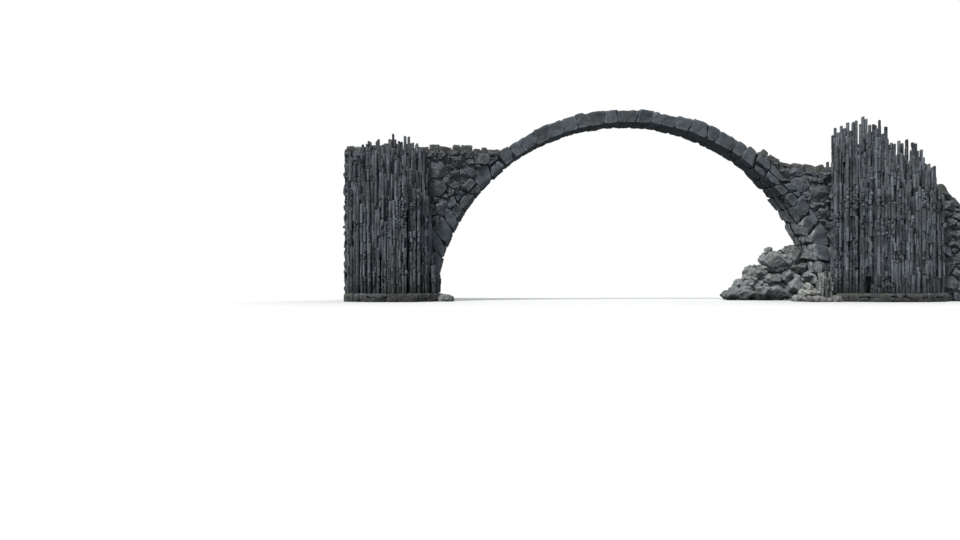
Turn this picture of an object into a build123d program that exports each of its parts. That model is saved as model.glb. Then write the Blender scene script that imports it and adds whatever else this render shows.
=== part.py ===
"""A moon bridge of field stone and basalt: one round arch over still water, with rough masonry behind its
haunches, bundles of standing basalt columns before both abutments, and fallen boulders at its feet.

X runs along the bridge, with left and right as seen from the front. Y runs from the front to the back, and
Z goes up from the water. The functions work about the arch's centre line, and every piece is moved at the
end, so that the origin lies at the bottom centre of the whole bridge. Lengths are in millimetres, angles in
degrees from the crown.
"""

import math
import os

from build123d import *

# Overall lengths, from the arch's centre line to each end of the masonry
left_reach = 15500
right_reach = 19500

# Arch ring: its centre lies under the water, so that the arch and its reflection make a circle
arch_radius = 10860
centre_drop = 1000
crown_depth = 620
foot_depth = 1000
voussoir_count = 41
voussoirs_by_segment = [3, 3, 3, 3, 3, 3, 5, 3, 3, 3, 3, 3, 3]
joint_wander = 0.22
back_relief = 70
soffit_relief = 25
face_relief = 45
joint_chamfer = 35

# Plan: narrow at the crown, and flaring on an arc to the width of the abutments
crown_width = 1400
abutment_width = 2200
crown_straight = 6000

# Masonry behind the ring, and the path on top of it
haunch_angle = 35
haunch_lip = 160
back_joint_margin = 590
left_knee_run = 1715
left_landing_drop = 14
right_knee_run = 970
right_knee_drop = 650
saddle_length = 2400
saddle_drop = 1000
wing_length = 2300
wing_shoulder_height = 5900
wing_slope_run = 1300
wing_height = 4500
paving_thickness = 120
edging_width = 300
edging_height = 260
edging_length = 780
edging_jag = 0.5
edging_start = 2
edging_growth = 5

# Basalt column screens, which fill each bank from the arch's springing to the end of the high masonry
column_pitch = 280
column_jag = 300
column_stump = 500
right_screen_gap = 36
right_end_margin = 350
left_screen_lap = 310
left_end_margin = 100
front_bundles = 4
back_bundles = 3
screen_edge_depth = 620
screen_middle_depth = 1500
footing_height = 450
footing_margin = 90
row_fall = 0.12
row_scatter = 0.75

# Skylines of the screens: share of the length from the arch outwards, and height
right_crest = [(0, 8700), (0.05, 9200), (0.17, 9550), (0.28, 9650), (0.3, 9900), (0.44, 9850), (0.5, 8750),
               (0.7, 8400), (0.86, 8000), (0.87, 7000), (1, 6200)]
left_crest = [(0, 1900), (0.1, 2300), (0.11, 8300), (0.45, 8900), (0.75, 8600), (1, 7800)]
right_back_crest = [(0, 6400), (0.17, 6400), (0.18, 8200), (0.28, 8200), (0.33, 9500), (0.44, 9500),
                    (0.5, 8600), (0.86, 7900), (1, 6200)]
left_back_crest = [(0, 1900), (0.1, 2300), (0.11, 6400), (0.4, 6400), (0.45, 8900), (1, 7800)]

# Broken columns before the ring's right foot
stump_count = 3
stump_rows = 3
stump_height = 1500
stump_fall = 0.12

# Gap at the foot of the right front screen, where columns are missing
recess_offset = 1550
recess_half_width = 190
recess_top = 1350

# Boulders: their shape, and how they vary, as shares of their size
boulder_size = 640
boulder_points = 12
boulder_stretch = 0.3
boulder_lumps = 0.2
boulder_flatness = 0.76
size_spread = 0.22
bedding = 0.35
crumb_size = 200

# Pile of boulders behind the ring's right foot. Its two lines lie this far out from the wall's plane, and
# each boulder has its share of the length, inwards from the foot, of the height, and of the boulders' size
heap_length = 5400
heap_height = 3300
heap_wander = 0.2
heap_inner_line = -330
heap_outer_line = 576
heap_boulders = [
    (0.83, 0.08, 0.8),
    (0.72, 0.1, 0.92),
    (0.66, 0.28, 0.8),
    (0.55, 0.12, 1.05),
    (0.53, 0.45, 0.85),
    (0.42, 0.1, 1.1),
    (0.42, 0.38, 1.05),
    (0.4, 0.68, 1.25),
    (0.28, 0.12, 1.1),
    (0.27, 0.42, 1.05),
    (0.16, 0.25, 1.05),
    (0.2, 0.82, 1.0),
    (0.14, 0.55, 1.25),
    (0.02, 0.15, 1.2),
    (0.02, 0.45, 1.3),
    (0.03, 0.78, 1.15),
    (0.25, 0.68, 1.0),
]

# Small stones on the ground before the ring's feet, as lines with this many stones each
toe_size = 330
toe_spacing = 1.05
toe_first_stone = 0.8
toe_line_spacing = 1.3
toe_first_line = 0.7
toe_layer_rise = 1.05
toe_layer_shift = 0.3
right_toe_counts = [3, 3, 5]
right_toe_layers = [3, 2, 1]
left_toe_counts = [2]
left_toe_layers = [1]

# Seeds of the fixed scatter, one for each thing that varies
joint_seed = 3
soffit_seed = 5
back_seed = 7
face_seed = 11
stump_seed = 5
lump_seed = 9
outer_heap_seed = 31
toe_seed = 60
toe_line_seed = 9
toe_layer_seed = 30
noise_scales = (12.9898, 78.233, 37.719)
noise_gain = 43758.5453
angle_slack = 1e-6

# Worked out from the sizes above
arch_x = (left_reach - right_reach) / 2
foot_x = math.sqrt(arch_radius**2 - centre_drop**2)
back_joint = foot_x + foot_depth + back_joint_margin
saddle_start = back_joint - saddle_length
wing_start = right_reach - wing_length
left_screen_start = foot_x - left_screen_lap
left_screen_end = left_reach - left_end_margin
right_screen_start = foot_x + right_screen_gap
right_screen_end = wing_start - right_end_margin
flare_end = left_screen_start - footing_margin
wall_y = abutment_width / 2
column_radius = column_pitch / math.sqrt(3)
row_pitch = 1.5 * column_radius
recess_x = right_screen_start + recess_offset
stump_end = right_screen_start - stump_count * column_pitch
reach_across = abutment_width + 4 * screen_middle_depth
reach_up = 2 * arch_radius


def noise(*seed):
    """A fixed number from -1 to 1 that looks random for each seed."""
    value = noise_gain * math.sin(sum(s * k for s, k in zip(seed, noise_scales)))
    return 2 * (value - math.floor(value)) - 1


def interpolate(points, x):
    """The height at x of a line through points, given in order of x."""
    if x <= points[0][0]:
        return points[0][1]
    for (x0, z0), (x1, z1) in zip(points, points[1:]):
        if x <= x1:
            return z0 + (z1 - z0) * (x - x0) / (x1 - x0)
    return points[-1][1]


def half_width(x):
    """Half the bridge's width at a distance x from its centre line."""
    run = min(max(abs(x) - crown_straight, 0), flare_end - crown_straight)
    length, spread = flare_end - crown_straight, (abutment_width - crown_width) / 2
    flare_radius = (length**2 + spread**2) / (2 * spread)
    return crown_width / 2 + flare_radius - math.sqrt(flare_radius**2 - run**2)


def across(points):
    """The prism that this outline in elevation makes right across the bridge."""
    return extrude(Plane.XZ * make_face(Polyline(*points, close=True)), amount=reach_across, both=True)


def upright(points, top=reach_up, bottom=0):
    """The prism that this outline in plan makes between two heights."""
    return extrude(Pos(0, 0, bottom) * make_face(Polyline(*points, close=True)), amount=top - bottom)


# Arch ring


def joint_angles():
    """The angle of each radial joint. The outermost two stand for the level beds at the water."""
    half_turn = math.degrees(math.acos(centre_drop / arch_radius))
    step = 2 * half_turn / voussoir_count
    inner = [
        -half_turn + step * (i + joint_wander * noise(i, joint_seed)) for i in range(1, voussoir_count)
    ]
    return [-half_turn, *inner, half_turn]


def ring_depth(angle):
    """The ring grows deeper from its crown to its feet."""
    return crown_depth + (foot_depth - crown_depth) * (angle / 90) ** 2


def on_ring(radius, angle):
    """The point of the elevation at this radius and angle. The ring's two ends lie on the water."""
    x = radius * math.sin(math.radians(angle))
    z = radius * math.cos(math.radians(angle)) - centre_drop
    if abs(angle) >= math.degrees(math.acos(centre_drop / arch_radius)) - angle_slack:
        return math.copysign(math.sqrt(radius**2 - centre_drop**2), angle), 0
    return x, z


def voussoir_outlines():
    """The corners of each voussoir in elevation: soffit left, soffit right, back right, back left."""
    angles = joint_angles()
    outlines = []
    for i, (start, end) in enumerate(zip(angles, angles[1:])):
        inner = arch_radius + soffit_relief * (1 + noise(i, soffit_seed)) / 2
        outer = arch_radius + ring_depth((start + end) / 2) + back_relief * noise(i, back_seed)
        outlines.append(
            [on_ring(inner, start), on_ring(inner, end), on_ring(outer, end), on_ring(outer, start)]
        )
    return outlines


def voussoir(index, outline):
    """One ring stone: a wedge in elevation, with both faces on the plan's flare and their edges broken."""
    x0 = min(x for x, _ in outline)
    x1 = max(x for x, _ in outline)
    set_back = face_relief * (1 + noise(index, face_seed)) / 2
    y0, y1 = half_width(x0) - set_back, half_width(x1) - set_back
    block = across(outline) & upright([(x0, -y0), (x1, -y1), (x1, y1), (x0, y0)])
    ends = block.faces().sort_by(Axis.Y)
    return chamfer(ends[0].edges() + ends[-1].edges(), joint_chamfer)


def ring_segments(outlines):
    """The ring's nodes, each a run of voussoirs that bear on one another."""
    segments = {}
    sides = len(voussoirs_by_segment) // 2
    first = 0
    for number, count in enumerate(voussoirs_by_segment):
        if number < sides:
            name = f"ring_left_{sides - number}"
        elif number == sides:
            name = "ring_crown"
        else:
            name = f"ring_right_{number - sides}"
        stones = [voussoir(i, outlines[i]) for i in range(first, first + count)]
        segments[name] = stones[0] + stones[1:]
        first += count
    return segments


# Masonry and path


def ring_back(side, outlines):
    """The ring's stepped back on one side, from a point over the haunch joint down to the water."""
    points = []
    for outline in outlines if side > 0 else reversed(outlines):
        upper, lower = (outline[3], outline[2]) if side > 0 else (outline[2], outline[3])
        angle = math.degrees(math.atan2(side * upper[0], upper[1] + centre_drop))
        if angle >= haunch_angle:
            if not points:
                points.append(on_ring(arch_radius + ring_depth(angle) + back_relief, side * angle))
            points += [upper, lower]
    return points


def deck_line(side, start):
    """The top of the masonry on one side, outwards from the haunch joint, as distance and height."""
    lip = (abs(start[0]), start[1] + haunch_lip)
    if side < 0:
        landing = lip[1] - left_landing_drop
        return [lip, (lip[0] + left_knee_run, landing), (back_joint, landing), (left_reach, landing)]
    saddle = lip[1] - saddle_drop
    return [
        lip,
        (lip[0] + right_knee_run, lip[1] - right_knee_drop),
        (saddle_start, saddle),
        (back_joint, saddle),
        (wing_start, wing_shoulder_height),
        (wing_start + wing_slope_run, wing_height),
        (right_reach, wing_height),
    ]


def stations(deck):
    """Where the joints between the edging stones fall. The masonry's faces turn at the same places."""
    places = [deck[0][0]]
    for (x0, _), (x1, _) in zip(deck, deck[1:]):
        count = max(1, round((x1 - x0) / edging_length))
        places += [x0 + (x1 - x0) * (n + 1) / count for n in range(count)]
    return places


def plan_strip(side, places, inner, outer):
    """An outline in plan along the places, from inner(x) to outer(x) across the bridge."""
    near = [(side * x, inner(x)) for x in places]
    far = [(side * x, outer(x)) for x in places]
    return near + far[::-1]


def masonry(side, back, deck, first, last):
    """The mass of stone under the deck between two distances, outside the ring's back."""
    places = [x for x in stations(deck) if first <= x <= last]
    plan = plan_strip(side, places, lambda x: -half_width(x), half_width)
    top = [(side * x, z) for x, z in deck if first <= x <= last]
    if first > deck[0][0]:
        outline = [(side * first, 0), *top, (side * last, 0)]
    else:
        outline = [*back[::-1], *top, (side * last, 0)]
    return across(outline) & upright(plan)


def walkway(side, deck):
    """The paving between the two rows of edging stones."""
    places = stations(deck)
    inside = lambda x: half_width(x) - edging_width
    low = [(side * x, z) for x, z in deck]
    high = [(x, z + paving_thickness) for x, z in low]
    return across(low + high[::-1]) & upright(plan_strip(side, places, lambda x: -inside(x), inside))


def edging(side, face, deck):
    """A row of rough upright stones along one edge of the path, each with its own height."""
    places = stations(deck)
    stones = []
    for n, (x0, x1) in enumerate(zip(places, places[1:])):
        z0, z1 = interpolate(deck, x0), interpolate(deck, x1)
        proud = min(1, (n + edging_start) / edging_growth) * (edging_height - paving_thickness)
        near, far = (
            paving_thickness + proud * (1 + edging_jag * noise(n, k, side + face)) for k in (1, 2)
        )
        outline = [(side * x0, z0), (side * x1, z1), (side * x1, z1 + far), (side * x0, z0 + near)]
        inside = lambda x: face * (half_width(x) - edging_width)
        outside = lambda x: face * half_width(x)
        strip = plan_strip(side, [x0, x1], inside, outside)
        stones.append(across(outline) & upright(strip))
    return stones[0] + stones[1:]


# Basalt columns


def screen_span(side):
    """The distances from the centre line between which a screen stands."""
    if side > 0:
        return right_screen_start, right_screen_end
    return left_screen_start, left_screen_end


def screen_depth(side, x):
    """How far the screen stands out from the wall: it bows towards its middle."""
    start, end = screen_span(side)
    share = (2 * x - start - end) / (end - start)
    return screen_middle_depth - (screen_middle_depth - screen_edge_depth) * share**2


def crest(side, face, x):
    """The height of a screen's skyline at a distance x."""
    start, end = screen_span(side)
    front, back = (right_crest, right_back_crest) if side > 0 else (left_crest, left_back_crest)
    return interpolate(front if face < 0 else back, (x - start) / (end - start))


def columns(side, face, first, last):
    """The hexagonal columns whose axes lie between two distances, packed side by side."""
    start, end = screen_span(side)
    prisms = []
    for row in range(int(screen_middle_depth / row_pitch) + 1):
        out = row * row_pitch
        for place in range(int((end - start) / column_pitch) + 1):
            x = start + (place + 0.5 + 0.5 * (row % 2)) * column_pitch
            inside = x + column_pitch / 2 <= end and out + column_radius <= screen_depth(side, x)
            if not (inside and first <= x < last):
                continue
            fall = row_fall * row * (1 + row_scatter * noise(place // 2, row, side + face))
            height = crest(side, face, x) * (1 - fall) + column_jag * noise(place, row, side + face)
            missing = side > 0 and face < 0 and row > 0 and abs(x - recess_x) < recess_half_width
            base = recess_top if missing else footing_height
            prisms.append(column(side * x, face, out, base, max(height, base + column_stump)))
    return prisms[0] + prisms[1:]


def stumps():
    """Short broken columns on the ground, between the right front screen and the water under the arch."""
    prisms = []
    for row in range(stump_rows):
        for place in range(stump_count - row % 2):
            x = right_screen_start - (place + 0.5 + 0.5 * (row % 2)) * column_pitch
            height = stump_height * (1 - stump_fall * place) + column_jag * noise(place, row, stump_seed)
            prisms.append(column(x, -1, row * row_pitch, 0, height))
    return prisms[0] + prisms[1:]


def column(x, face, out, base, height):
    """One standing column. Those at the wall are half columns, flat against it."""
    half = column_pitch / 2
    front = [(half, column_radius / 2), (0, column_radius), (-half, column_radius / 2)]
    back = [(-half, 0), (half, 0)]
    if out:
        back = [(-half, -column_radius / 2), (0, -column_radius), (half, -column_radius / 2)]
    outline = [(x + dx, face * (wall_y + out + dy)) for dx, dy in front + back]
    return upright(outline, height, base)


def footing(side, face):
    """The low plinth under a screen, bowed like it."""
    start, end = screen_span(side)
    middle = (start + end) / 2
    edge = face * (wall_y + screen_edge_depth + footing_margin)
    crown = face * (wall_y + screen_middle_depth + footing_margin)
    wall = face * wall_y
    bow = ThreePointArc((side * start, edge), (side * middle, crown), (side * end, edge))
    back = Polyline((side * end, edge), (side * end, wall), (side * start, wall), (side * start, edge))
    return extrude(make_face([bow, back]), amount=footing_height)


# Boulders


def boulder(x, y, z, size, seed):
    """A broken block: the convex hull of points spread over a lumpy ball."""
    golden_turn = math.pi * (3 - math.sqrt(5))
    spread = [1 + boulder_stretch * noise(seed, k) for k in (1, 2, 3)]
    points = []
    for k in range(boulder_points):
        rise = 1 - 2 * (k + 0.5) / boulder_points
        around = math.sqrt(1 - rise**2)
        radius = size * (1 + boulder_lumps * noise(seed, k, lump_seed))
        turn = golden_turn * k + seed
        points.append(
            (
                x + radius * spread[0] * around * math.cos(turn),
                y + radius * spread[1] * around * math.sin(turn),
                z + radius * spread[2] * boulder_flatness * rise,
            )
        )
    return ConvexPolyhedron(points)


def heap(stones, neighbours):
    """Boulders that lie on one another and on the ground, close against their neighbours."""
    air = Pos(0, 0, reach_up / 2) * Box(4 * right_reach, reach_across, reach_up)
    pile = (stones[0] + stones[1:]) & air
    for piece in neighbours:
        pile = pile - piece
    whole = [solid for solid in pile.solids() if solid.volume > crumb_size**3]
    return whole[0] + whole[1:] if len(whole) > 1 else whole[0]


def main_heap(y, seed, neighbours):
    """One line of the pile behind the arch's right foot."""
    stones = []
    for n, (inwards, up, share) in enumerate(heap_boulders):
        size = share * boulder_size
        x = foot_x - inwards * heap_length + heap_wander * size * noise(n, 1, seed)
        wander = heap_wander * size * noise(n, 2, seed)
        z = max(bedding * size, up * heap_height)
        stones.append(boulder(x, y + wander, z, size, 1 + n + seed))
    return heap(stones, neighbours)


def toe(side, starts, counts, layers, neighbours):
    """Small broken stones before the ring's foot, in lines of growing distance from it and in layers."""
    stones = []
    for row, (start, count, height) in enumerate(zip(starts, counts, layers)):
        for layer in range(height):
            for n in range(count - layer):
                size = toe_size * (1 + size_spread * noise(n, row, side + layer))
                place = toe_first_stone + toe_spacing * n + toe_layer_shift * layer
                x = side * (start - place * toe_size)
                y = -wall_y - (toe_first_line + toe_line_spacing * row) * toe_size
                z = (bedding + toe_layer_rise * layer) * toe_size
                seed = toe_seed + n + toe_line_seed * row + toe_layer_seed * layer + side
                stones.append(boulder(x, y, z, size, seed))
    return heap(stones, neighbours)


def main():
    outlines = voussoir_outlines()
    nodes = ring_segments(outlines)
    for side, word in ((-1, "left"), (1, "right")):
        back = ring_back(side, outlines)
        deck = deck_line(side, back[0])
        nodes[f"{word}_haunch"] = masonry(side, back, deck, deck[0][0], back_joint)
        if side < 0:
            nodes["left_abutment"] = masonry(side, back, deck, back_joint, left_reach)
        else:
            nodes["right_abutment"] = masonry(side, back, deck, back_joint, wing_start)
            nodes["right_wing"] = masonry(side, back, deck, wing_start, right_reach)
        nodes[f"{word}_walkway"] = walkway(side, deck)
        for face, where in ((-1, "front"), (1, "back")):
            nodes[f"{word}_{where}_edging"] = edging(side, face, deck)
            nodes[f"{word}_{where}_footing"] = footing(side, face)
            start, end = screen_span(side)
            bundles = front_bundles if face < 0 else back_bundles
            for n in range(bundles):
                first = start + (end - start) * n / bundles
                last = start + (end - start) * (n + 1) / bundles
                nodes[f"{word}_{where}_columns_{n + 1}"] = columns(side, face, first, last)
    nodes["right_front_stumps"] = stumps()
    beside = [nodes[f"ring_right_{n}"] for n in (4, 5, 6)]
    beside += [nodes[name] for name in ("right_haunch", "right_back_footing", "right_back_columns_1")]
    nodes["boulder_heap_inner"] = main_heap(wall_y + heap_inner_line, 0, beside)
    beside.append(nodes["boulder_heap_inner"])
    nodes["boulder_heap_outer"] = main_heap(wall_y + heap_outer_line, outer_heap_seed, beside)
    beside = [nodes[name] for name in ("ring_right_6", "right_front_stumps", "right_front_footing")]
    starts = [stump_end, stump_end, right_screen_start]
    nodes["right_toe_stones"] = toe(1, starts, right_toe_counts, right_toe_layers, beside)
    beside = [nodes[name] for name in ("ring_left_6", "left_front_columns_1", "left_front_footing")]
    nodes["left_toe_stones"] = toe(-1, [left_screen_start], left_toe_counts, left_toe_layers, beside)

    os.makedirs("parts", exist_ok=True)
    for name, piece in nodes.items():
        export_step(Pos(arch_x, 0, 0) * piece, f"parts/{name}.step")
    print(len(nodes), "nodes")


main()
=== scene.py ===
"""The looks of a stone moon bridge: rough ring stones, polygonal rubble, thin basalt columns and
boulders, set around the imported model. Lengths are in metres and angles in degrees. X runs along the
bridge, Y from its front to its back, and Z up from the water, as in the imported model. A distance x in a
function that knows a side is measured outwards from the arch's centre line.
"""

import math

import bmesh
import bpy
import numpy as np
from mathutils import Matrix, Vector, noise
from mathutils.bvhtree import BVHTree


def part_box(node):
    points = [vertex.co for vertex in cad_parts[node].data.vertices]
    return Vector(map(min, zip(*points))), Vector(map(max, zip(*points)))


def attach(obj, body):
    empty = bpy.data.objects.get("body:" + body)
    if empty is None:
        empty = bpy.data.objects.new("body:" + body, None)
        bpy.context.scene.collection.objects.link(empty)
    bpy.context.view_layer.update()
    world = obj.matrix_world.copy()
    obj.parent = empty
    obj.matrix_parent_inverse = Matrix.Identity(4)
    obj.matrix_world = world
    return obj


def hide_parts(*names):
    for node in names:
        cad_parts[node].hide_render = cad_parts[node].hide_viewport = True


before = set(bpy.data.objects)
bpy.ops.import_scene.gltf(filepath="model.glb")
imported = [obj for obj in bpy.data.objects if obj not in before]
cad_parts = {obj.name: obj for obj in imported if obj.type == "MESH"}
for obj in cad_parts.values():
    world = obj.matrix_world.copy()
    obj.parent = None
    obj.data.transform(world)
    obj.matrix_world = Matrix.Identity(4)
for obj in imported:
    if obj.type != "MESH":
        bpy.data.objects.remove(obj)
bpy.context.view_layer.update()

# Sizes of the bridge, the same as in the part
left_reach = 15.5
right_reach = 19.5
arch_radius = 10.86
centre_drop = 1.0
crown_depth = 0.62
foot_depth = 1.0
voussoir_count = 41
joint_wander = 0.22
back_relief = 0.07
crown_width = 1.4
abutment_width = 2.2
crown_straight = 6.0
haunch_angle = 35
haunch_lip = 0.16
back_joint_margin = 0.59
left_knee_run = 1.715
left_landing_drop = 0.014
right_knee_run = 0.97
right_knee_drop = 0.65
saddle_length = 2.4
saddle_drop = 1.0
wing_length = 2.3
wing_shoulder_height = 5.9
wing_slope_run = 1.3
wing_height = 4.5
paving_thickness = 0.12
edging_width = 0.3
edging_height = 0.26
edging_growth = 5
right_screen_gap = 0.036
right_end_margin = 0.35
left_screen_lap = 0.31
left_end_margin = 0.1
screen_edge_depth = 0.62
screen_middle_depth = 1.5
footing_height = 0.45
footing_margin = 0.09
stump_count = 3
cad_column_pitch = 0.28

# Boulders, the same as in the part
boulder_size = 0.64
boulder_points = 12
boulder_stretch = 0.3
boulder_lumps = 0.2
boulder_flatness = 0.76
size_spread = 0.22
bedding = 0.35
heap_length = 5.4
heap_height = 3.3
heap_wander = 0.2
heap_inner_line = -0.33
heap_outer_line = 0.576
heap_boulders = [
    (0.83, 0.08, 0.8), (0.72, 0.1, 0.92), (0.66, 0.28, 0.8), (0.55, 0.12, 1.05), (0.53, 0.45, 0.85),
    (0.42, 0.1, 1.1), (0.42, 0.38, 1.05), (0.4, 0.68, 1.25), (0.28, 0.12, 1.1), (0.27, 0.42, 1.05),
    (0.16, 0.25, 1.05), (0.2, 0.82, 1.0), (0.14, 0.55, 1.25), (0.02, 0.15, 1.2), (0.02, 0.45, 1.3),
    (0.03, 0.78, 1.15), (0.25, 0.68, 1.0),
]
toe_size = 0.33
toe_spacing = 1.05
toe_first_stone = 0.8
toe_line_spacing = 1.3
toe_first_line = 0.7
toe_layer_rise = 1.05
toe_layer_shift = 0.3
right_toe_counts = [3, 3, 5]
right_toe_layers = [3, 2, 1]
left_toe_counts = [2]
left_toe_layers = [1]

# Seeds of the fixed scatter, the same as in the part
joint_seed = 3
soffit_seed = 5
back_seed = 7
lump_seed = 9
outer_heap_seed = 31
toe_seed = 60
toe_line_seed = 9
toe_layer_seed = 30
noise_scales = (12.9898, 78.233, 37.719)
noise_gain = 43758.5453

# Seeds of the scatter that only the looks have
cut_seed = 2
band_seed = 5
zone_seed = 9
pale_seed = 13
lean_seed = 17
crumb_seed = 400
filler_seed = 700
filler_seed_step = 20

# Detail of boulders: chips, how finely the larger ones are divided, and small stones between them
boulder_chips = 16
chip_reach = (0.72, 0.97)
boulder_sharpness = 230
boulder_growth = 1.03
ball_fineness = (3, 4, 5)
ball_steps = (0.3, 0.68)
filler_share = 0.55
crumb_size = 0.17
crumb_spread = (0.5, 1.3)
crumb_count = 45

# Ring stones: below this angle from the crown joints lean more and stones may be split
rough_angle = 34
crown_stones = range(13, 28)
joint_gap = 0.022
rough_gap = 0.045
joint_lean = 1.5
cut_wander = 0.25
soffit_wander = 0.02
soffit_drop = 0.5
back_rise = (-0.04, 0.05)
ring_proud = 0.045
ring_least_proud = 0.04
ring_corners = (0.6, 1)
rough_relief = 0.16
split_share = 0.65
split_place = (0.4, 0.66)

# Faced stones: their radius and its spread, the gap around each, how proud it is, and how many points
# its outline has
rubble_stones = dict(radius=0.34, spread=0.6, gap=0.024, proud=0.17, count=26)
end_stones = dict(rubble_stones, proud=0.085, count=18)
paving_stones = dict(radius=0.27, spread=0.35, gap=0.018, proud=0.03, count=16)
proud_spread = (0.6, 1.4)
site_tries = 3000
site_closeness = 0.78
cell_reach = 3
cell_neighbours = 23
corner_cut = 0.11
least_shrink = 0.3
least_area = 0.012
stone_bite = 0.12
rubble_lap = 0.06
rubble_margin = 0.3
paving_lap = 0.03
ground_gap = 0.02
deck_run = 0.2

# Broken fronts, as shares of how steep and how proud the stone is: planes that tilt at random, steeper
# bevels around them, one bevel that faces up, and the rings of points from the outline inwards
front_planes = 3
front_tilt = 0.5
front_tops = (0.85, 1.25)
front_bevels = 3
bevel_slopes = (1.6, 3)
bevel_tops = (1.7, 2.4)
upper_bevel_wander = 0.3
upper_bevel_slope = 2.4
upper_bevel_tops = (1.6, 2.2)
front_least = 0.12
front_rings = [(1, 0), (0.98, 0.6), (0.93, 1), (0.82, 1.4), (0.66, 1.4), (0.48, 1.4), (0.26, 1.4)]

# Edging, step and footing stones
edging_start = 3
edging_lap = 0.05
least_edging = 0.2
edging_lengths = (0.32, 0.72)
edging_tops = (0.6, 1.6)
edging_corners = (0.7, 1.4)
edging_overhang = (0.01, 0.06)
edging_scatter = 0.08
edging_bed = 0.12
step_length = 0.3
step_bed = 0.3
step_cut = (0.2, 0.5)
step_rise = (0.05, 0.1)
step_scatter = 0.05
footing_stone_length = 0.45
least_footing = 0.15
footing_spread = (0.6, 1.4)
footing_course = (0.4, 0.62)
footing_whole_share = 0.4
footing_proud = (-0.02, 0.05)
footing_bite = 0.02

# Wear of blocks: the number and the depth of their chips, and the spacing of the points of their mesh,
# then what share of the chips break an edge or a face, and how these lean
crown_wear = (14, 0.12, 0.085)
rough_wear = (18, 0.25, 0.085)
edging_wear = (10, 0.3, 0.07)
course_wear = (9, 0.16, 0.08)
chip_ways = (0.35, 1)
chip_depths = (0.3, 1)
edge_chips = 0.4
edge_chip_lean = 0.12
face_chips = 0.3
face_chip_lean = 0.3

# Kinds of pieces: where their random draws begin, the height and the width of the lumps on their
# surfaces, and the angle from which an edge stays sharp. The draws of the two sides are a step apart
kinds = {
    "ring": (11, 0.04, 0.3, 32),
    "rubble": (101, 0.04, 0.11, 24),
    "end": (131, 0.03, 0.3, 32),
    "edging": (141, 0.035, 0.25, 32),
    "paving": (161, 0.012, 0.3, 32),
    "footing": (171, 0.03, 0.25, 32),
    "heap": (191, 0.042, 0.2, 16),
    "toe": (221, 0.03, 0.12, 20),
    "basalt": (300, 0.006, 0.12, 25),
}
side_step = 10
lump_fractal = (0.8, 2.1, 4)

# Thin columns: their pitch and gap, shares of the pitch that say how they wander and which of them are
# neighbours, how deep the hidden ones begin, and how their tips are spread and evened
column_pitch = 0.155
column_gap = 0.012
column_wander = 0.2
column_reach = 0.62
near_reach = 1.45
front_reach = 0.4
least_neighbours = 5
hidden_depth = 0.35
tip_spread = (-0.3, 0.2)
tip_evening = 0.6
tip_reach = 0.36
tip_percentile = 85

# Breaks of columns: those that a group of columns shares, each column's own ones, and zones where a
# group is broken small
drum_length = 0.6
group_width = 0.75
shared_breaks = 11
shared_first = 0.6
shared_wander = 0.35
shared_share = 0.6
break_wander = 0.05
own_breaks = 12
own_spread = (0.4, 1.7)
own_share = 0.75
least_drum = 0.25
least_tip = 0.2
crushed_share = 0.34
crushed_lengths = (0.13, 0.3)

# Drums: how far they are out of line, their shape, with turns in radians, and their tone
column_slip = 0.03
drum_slip = 0.014
crushed_slip = 0.022
band_slip = 0.035
recess_share = 0.1
recess_depth = 0.09
drum_spread = (0.95, 1.06)
drum_turn = 0.06
drum_lean = 0.006
drum_tilt = 0.12
drum_edge = 0.035
drum_taper = 0.72
knob_pitch = 0.4
knob_depth = 0.09
least_tone = 0.15
tone_range = 0.36
tone_wander = 0.38
pale_share = 0.18
pale_extra = 0.6

# Dark slits in the right front screen: distance, bottom and top
slits = [(11.62, 4.9, 5.6), (14.55, 4.8, 5.6), (12.9, 6.1, 6.5)]
slit_width = 0.14
slit_surroundings = 2.2
slit_clearance = 0.2

# Camera, fitted to the photograph's horizon, waterline and arch
photo_width = 960
focal_pixels = 625
horizon_below_centre = 10
camera_height = 1.155
camera_distance = 35.1
camera_left_of_arch = 8.15
camera_reach = 2000
sensor_width = 36

# Studio
sky_strength = 0.42
key_strength = 2.7
rim_strength = 0.9
floor_reach = 900

# The words of the part's names for the two sides and for their two faces
side_words = {-1: "left", 1: "right"}
face_words = {-1: "front", 1: "back"}

# Worked out from the sizes above
arch_x = (left_reach - right_reach) / 2
wall_y = abutment_width / 2
foot_x = math.sqrt(arch_radius**2 - centre_drop**2)
half_turn = math.degrees(math.acos(centre_drop / arch_radius))
back_joint = foot_x + foot_depth + back_joint_margin
wing_start = right_reach - wing_length
left_screen = (foot_x - left_screen_lap, left_reach - left_end_margin)
right_screen = (foot_x + right_screen_gap, wing_start - right_end_margin)
stump_end = right_screen[0] - stump_count * cad_column_pitch
flare_end = left_screen[0] - footing_margin


# The bridge's form, as in the part


def fixed(*seed):
    """A fixed number from -1 to 1 that looks random for each seed, the same as the part's."""
    value = noise_gain * math.sin(sum(s * k for s, k in zip(seed, noise_scales)))
    return 2 * (value - math.floor(value)) - 1


def half_width(x):
    """Half the bridge's width at a distance x from the arch's centre line."""
    run = min(max(abs(x) - crown_straight, 0), flare_end - crown_straight)
    length, spread = flare_end - crown_straight, (abutment_width - crown_width) / 2
    flare_radius = (length**2 + spread**2) / (2 * spread)
    return crown_width / 2 + flare_radius - math.sqrt(flare_radius**2 - run**2)


def ring_depth(angle):
    """The ring grows deeper from its crown to its feet."""
    return crown_depth + (foot_depth - crown_depth) * (angle / 90) ** 2


def joint_angles():
    """The angle of each radial joint, from the left foot to the right foot."""
    step = 2 * half_turn / voussoir_count
    numbers = [i + joint_wander * fixed(i, joint_seed) for i in range(1, voussoir_count)]
    return [-half_turn, *(-half_turn + step * number for number in numbers), half_turn]


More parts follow.
